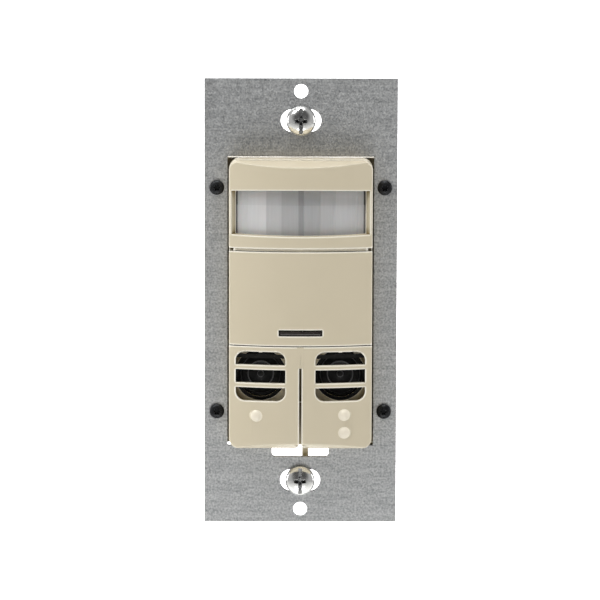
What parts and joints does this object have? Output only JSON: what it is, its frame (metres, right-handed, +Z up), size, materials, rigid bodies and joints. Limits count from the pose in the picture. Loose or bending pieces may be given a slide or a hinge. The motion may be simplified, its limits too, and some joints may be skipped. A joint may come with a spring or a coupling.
{
  "type": "motion sensor light switch",
  "caption": "Wall light switch with an infrared lens window, ultrasonic sensors behind grilles, press buttons and a snap-off control cover on a steel mounting strap.",
  "frame": {"origin": "midway between the two box screws, on the rear face of the mounting strap", "axes": "+Z up along the strap, +X to the right seen from the room, the face looks along -Y and +Y goes into the wall along the box screws"},
  "size_m": [0.0444, 0.0439, 0.1028],
  "materials": {
    "zinc_plated_steel": "fine-grained zinc plate",
    "bright_screw_steel": "bright zinc plate",
    "black_screw_steel": "black oxide",
    "plain_steel": "plain",
    "retainer_fibre": "pressed fibre",
    "ivory_plastic": "satin moulded",
    "lens_polyethylene": "satin, translucent",
    "grey_plastic": "satin moulded",
    "black_plastic": "satin moulded",
    "smoked_plastic": "smoked, polished",
    "clear_plastic": "clear, polished",
    "white_plastic": "satin moulded",
    "blue_plastic": "moulded",
    "red_plastic": "moulded",
    "orange_resin": "dipped resin",
    "transducer_black": "black coated aluminium",
    "black_rubber": "soft",
    "circuit_laminate": "green solder mask",
    "sensor_can_steel": "nickel plate",
    "filter_silicon": "polished",
    "pin_brass": "gold flash",
    "coil_copper": "enamelled copper wire"
  },
  "bodies": {
    "switch_housing": {"mounting_strap": "zinc_plated_steel", "mounting_screws": "bright_screw_steel", "screw_retainers": "retainer_fibre", "housing_screws": "black_screw_steel", "front_housing": "ivory_plastic", "fresnel_lens": "lens_polyethylene", "lens_retainer": "grey_plastic", "blinder_pins": "plain_steel", "transducer_sleeves": "black_rubber", "ultrasonic_transmitter": "transducer_black", "ultrasonic_receiver": "transducer_black", "sensor_board": "circuit_laminate", "board_screws": "plain_steel", "pir_spacer": "white_plastic", "pir_sensor_can": "sensor_can_steel", "pir_filter": "filter_silicon", "indicator_leds": "clear_plastic", "light_sensor": "clear_plastic", "light_guide": "clear_plastic", "trimmer_bodies": "blue_plastic", "dip_switch_body": "red_plastic", "tact_switch_bodies": "black_plastic", "microcontroller": "black_plastic", "link_socket": "black_plastic", "link_header": "black_plastic", "link_pins": "pin_brass", "power_board": "circuit_laminate", "power_board_screws": "plain_steel", "relay_cases": "black_plastic", "relay_bases": "black_plastic", "relay_yokes": "plain_steel", "relay_coils": "coil_copper", "relay_contacts": "pin_brass", "film_capacitor": "grey_plastic", "bulk_capacitor": "black_plastic", "varistor": "orange_resin", "bridge_rectifier": "black_plastic", "rear_housing": "black_plastic", "lead_grommet": "black_rubber"},
    "control_cover": {"control_cover": "ivory_plastic", "indicator_window": "smoked_plastic"},
    "left_button": {"left_button": "ivory_plastic"},
    "right_button": {"right_button": "ivory_plastic"},
    "left_switch_plunger": {"left_switch_plunger": "white_plastic"},
    "right_switch_plunger": {"right_switch_plunger": "white_plastic"},
    "left_blinder": {"left_blinder": "grey_plastic"},
    "right_blinder": {"right_blinder": "grey_plastic"},
    "left_relay_armature": {"left_relay_armature": "plain_steel"},
    "right_relay_armature": {"right_relay_armature": "plain_steel"},
    "trimmer_rotor_1": {"trimmer_rotor_1": "white_plastic"},
    "trimmer_rotor_2": {"trimmer_rotor_2": "white_plastic"},
    "trimmer_rotor_3": {"trimmer_rotor_3": "white_plastic"},
    "trimmer_rotor_4": {"trimmer_rotor_4": "white_plastic"},
    "dip_slider_1": {"dip_slider_1": "white_plastic"},
    "dip_slider_2": {"dip_slider_2": "white_plastic"},
    "dip_slider_3": {"dip_slider_3": "white_plastic"},
    "dip_slider_4": {"dip_slider_4": "white_plastic"}
  },
  "joints": [
    {"name": "left_button_press", "type": "hinge", "parent": "switch_housing", "child": "left_button", "pos_m": [-0.0091, -0.0069, -0.0101], "axis": [1, 0, 0], "range_deg": [0, 1.2], "stiffness_Nm_per_rad": 1.2},
    {"name": "left_switch_travel", "type": "slide", "parent": "switch_housing", "child": "left_switch_plunger", "axis": [0, 1, 0], "range_m": [0, 0.0004]},
    {"name": "right_button_press", "type": "hinge", "parent": "switch_housing", "child": "right_button", "pos_m": [0.0091, -0.0069, -0.0101], "axis": [1, 0, 0], "range_deg": [0, 1.2], "stiffness_Nm_per_rad": 1.2},
    {"name": "right_switch_travel", "type": "slide", "parent": "switch_housing", "child": "right_switch_plunger", "axis": [0, 1, 0], "range_m": [0, 0.0004]},
    {"name": "control_cover_pull", "type": "slide", "parent": "switch_housing", "child": "control_cover", "axis": [0, -1, 0], "range_m": [0, 0.025]},
    {"name": "left_blinder_turn", "type": "hinge", "parent": "switch_housing", "child": "left_blinder", "pos_m": [0, -0.0009, 0.0213], "axis": [0, 0, 1], "range_deg": [0, 35]},
    {"name": "right_blinder_turn", "type": "hinge", "parent": "switch_housing", "child": "right_blinder", "pos_m": [0, -0.0009, 0.0213], "axis": [0, 0, -1], "range_deg": [0, 35]},
    {"name": "trimmer_rotor_1_turn", "type": "hinge", "parent": "switch_housing", "child": "trimmer_rotor_1", "pos_m": [-0.0114, -0.003, 0.0055], "axis": [0, 1, 0], "range_deg": [-135, 135]},
    {"name": "trimmer_rotor_2_turn", "type": "hinge", "parent": "switch_housing", "child": "trimmer_rotor_2", "pos_m": [-0.0038, -0.003, 0.0055], "axis": [0, 1, 0], "range_deg": [-135, 135]},
    {"name": "trimmer_rotor_3_turn", "type": "hinge", "parent": "switch_housing", "child": "trimmer_rotor_3", "pos_m": [0.0038, -0.003, 0.0055], "axis": [0, 1, 0], "range_deg": [-135, 135]},
    {"name": "trimmer_rotor_4_turn", "type": "hinge", "parent": "switch_housing", "child": "trimmer_rotor_4", "pos_m": [0.0114, -0.003, 0.0055], "axis": [0, 1, 0], "range_deg": [-135, 135]},
    {"name": "dip_slider_1_travel", "type": "slide", "parent": "switch_housing", "child": "dip_slider_1", "axis": [0, 0, 1], "range_m": [0, 0.0013]},
    {"name": "dip_slider_2_travel", "type": "slide", "parent": "switch_housing", "child": "dip_slider_2", "axis": [0, 0, 1], "range_m": [0, 0.0013]},
    {"name": "dip_slider_3_travel", "type": "slide", "parent": "switch_housing", "child": "dip_slider_3", "axis": [0, 0, 1], "range_m": [0, 0.0013]},
    {"name": "dip_slider_4_travel", "type": "slide", "parent": "switch_housing", "child": "dip_slider_4", "axis": [0, 0, 1], "range_m": [0, 0.0013]},
    {"name": "left_relay_close", "type": "hinge", "parent": "switch_housing", "child": "left_relay_armature", "pos_m": [-0.0087, 0.0227, 0.0094], "axis": [1, 0, 0], "range_deg": [0, 3.5], "stiffness_Nm_per_rad": 0.02},
    {"name": "right_relay_close", "type": "hinge", "parent": "switch_housing", "child": "right_relay_armature", "pos_m": [0.0087, 0.0227, 0.0094], "axis": [1, 0, 0], "range_deg": [0, 3.5], "stiffness_Nm_per_rad": 0.02}
  ],
  "couplings": [
    {"joint": "left_switch_travel", "follows": "left_button_press", "m_per_rad": 0.0169},
    {"joint": "right_switch_travel", "follows": "right_button_press", "m_per_rad": 0.0169}
  ]
}
